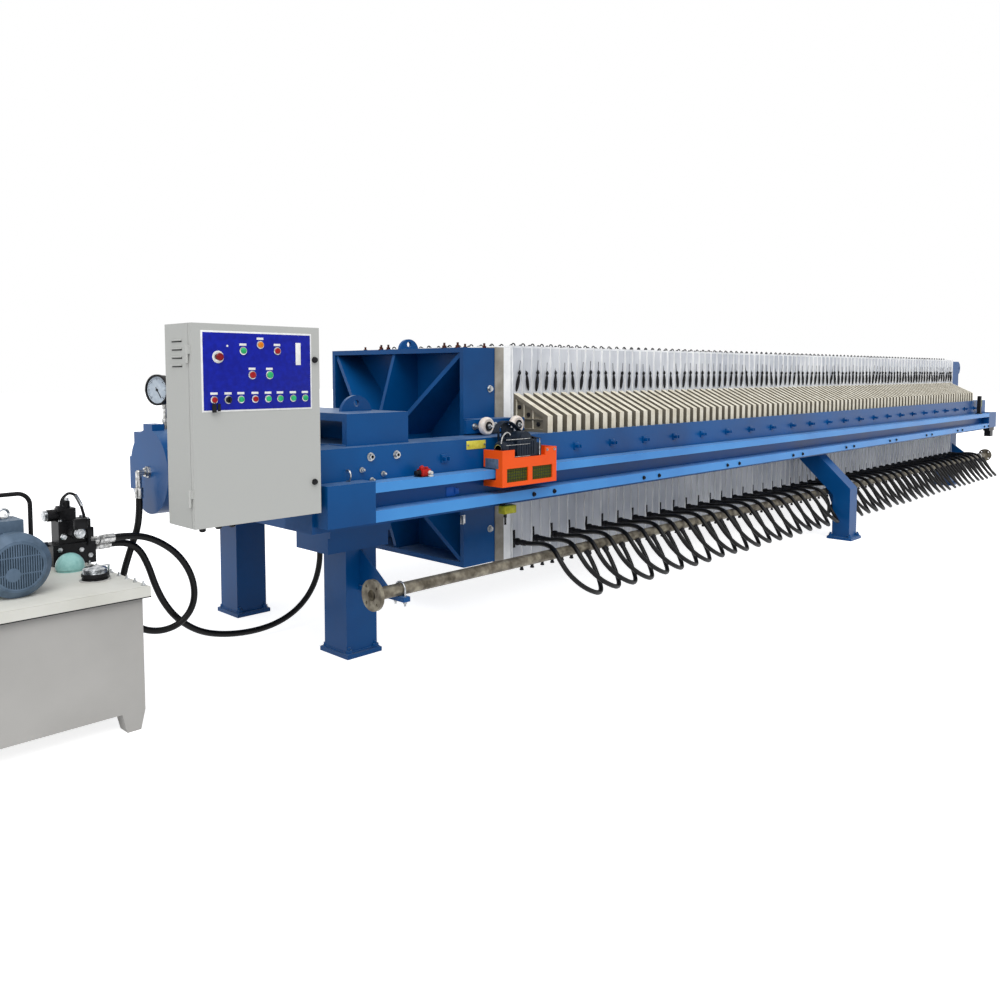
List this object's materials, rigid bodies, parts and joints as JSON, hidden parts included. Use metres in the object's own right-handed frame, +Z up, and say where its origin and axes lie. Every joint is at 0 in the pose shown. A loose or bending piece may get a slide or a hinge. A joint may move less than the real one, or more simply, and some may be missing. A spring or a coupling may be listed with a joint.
{
  "type": "membrane plate filter press with plate shuttle, control cabinet and hydraulic power unit",
  "caption": "Long plate filter press: welded frame on legs, stacked plates with cloths and side handles, closing cylinder, plate shuttles, squeeze pipe with hoses, cabinet and power unit.",
  "frame": {"origin": "middle of the footprint of the whole installation, on the floor, under the press's centre line", "axes": "+X along the machine from the power unit to the thrust plate, +Y away from the operator's side, +Z up"},
  "size_m": [11.652, 2.42, 1.626],
  "materials": {
    "frame_blue": "gloss",
    "rail_blue": "gloss",
    "chrome_rod": "polished",
    "head_plate_grey": "matte",
    "cloth_white": "matte",
    "plate_polypropylene": "matte",
    "handle_ivory": "matte",
    "roller_nylon": "satin",
    "pipe_stainless": "satin",
    "fitting_black": "satin",
    "hose_rubber": "satin",
    "shuttle_orange": "gloss",
    "shuttle_black": "satin",
    "cabinet_grey": "satin",
    "tank_grey": "satin",
    "motor_grey": "satin",
    "fitting_steel": "satin",
    "switch_red": "gloss"
  },
  "bodies": {
    "frame": {"cabinet_bracket": "frame_blue", "cabinet_shell": "cabinet_grey", "cap_hose": "hose_rubber", "chain_tensioners": "fitting_black", "cylinder_barrel": "frame_blue", "cylinder_cap": "frame_blue", "cylinder_gland": "frame_blue", "cylinder_seat": "frame_blue", "end_plate": "cloth_white", "feed_flange": "pipe_stainless", "filter_plates": "plate_polypropylene", "frame_lugs": "frame_blue", "front_legs": "frame_blue", "hose_fittings": "fitting_steel", "hose_tees": "fitting_black", "leg_bases": "frame_blue", "limit_switch": "switch_red", "manifold_brackets": "frame_blue", "manifold_clamps": "pipe_stainless", "manifold_flanges": "pipe_stainless", "manifold_pipe": "pipe_stainless", "middle_leg_gusset": "frame_blue", "middle_legs": "frame_blue", "motor_body": "motor_grey", "motor_fan_cover": "motor_grey", "plate_handles": "handle_ivory", "pressure_gauge": "fitting_steel", "pump": "fitting_black", "rail_bars": "rail_blue", "rail_end_blocks": "frame_blue", "rail_webs": "frame_blue", "rod_hose": "hose_rubber", "side_beams": "frame_blue", "squeeze_hoses": "hose_rubber", "tail_legs": "frame_blue", "tail_posts": "fitting_black", "tank_body": "tank_grey", "tank_feet": "tank_grey", "tank_fittings": "fitting_steel", "tank_handle": "fitting_steel", "tank_lid": "tank_grey", "thrust_plate": "frame_blue", "valve_stack": "fitting_black"},
    "follower": {"piston_rod": "chrome_rod", "pressing_plate": "frame_blue", "head_plate": "head_plate_grey", "head_cloth_plate": "cloth_white", "follower_arms": "frame_blue", "follower_lug": "frame_blue"},
    "front_rollers": {"follower_rollers_front": "roller_nylon"},
    "rear_rollers": {"follower_rollers_rear": "roller_nylon"},
    "shuttle_near": {"shuttle_carriage_near": "shuttle_orange", "shuttle_drive_near": "shuttle_black", "shuttle_rollers_near": "shuttle_black"},
    "shuttle_far": {"shuttle_carriage_far": "shuttle_orange", "shuttle_drive_far": "shuttle_black", "shuttle_rollers_far": "shuttle_black"},
    "door": {"cabinet_door": "cabinet_grey"}
  },
  "joints": [
    {"name": "follower_slide", "type": "slide", "parent": "frame", "child": "follower", "axis": [1, 0, 0], "range_m": [-0.38, 0]},
    {"name": "shuttle_near_slide", "type": "slide", "parent": "frame", "child": "shuttle_near", "axis": [1, 0, 0], "range_m": [-0.36, 8]},
    {"name": "shuttle_far_slide", "type": "slide", "parent": "frame", "child": "shuttle_far", "axis": [1, 0, 0], "range_m": [-0.36, 8]},
    {"name": "cabinet_door_hinge", "type": "hinge", "parent": "frame", "child": "door", "pos_m": [-4.901, -0.982, 1.2155], "axis": [0, 0, 1], "range_deg": [-110, 0]},
    {"name": "front_roller_spin", "type": "hinge", "parent": "follower", "child": "front_rollers", "pos_m": [-3.09, 0, 1.1303], "axis": [0, 1, 0], "range_deg": [-460, 460]},
    {"name": "rear_roller_spin", "type": "hinge", "parent": "follower", "child": "rear_rollers", "pos_m": [-2.85, 0, 1.1303], "axis": [0, 1, 0], "range_deg": [-460, 460]}
  ],
  "couplings": [
    {"joint": "shuttle_far_slide", "follows": "shuttle_near_slide", "ratio": 1},
    {"joint": "front_roller_spin", "follows": "follower_slide", "rad_per_m": 20},
    {"joint": "rear_roller_spin", "follows": "follower_slide", "rad_per_m": 20}
  ]
}
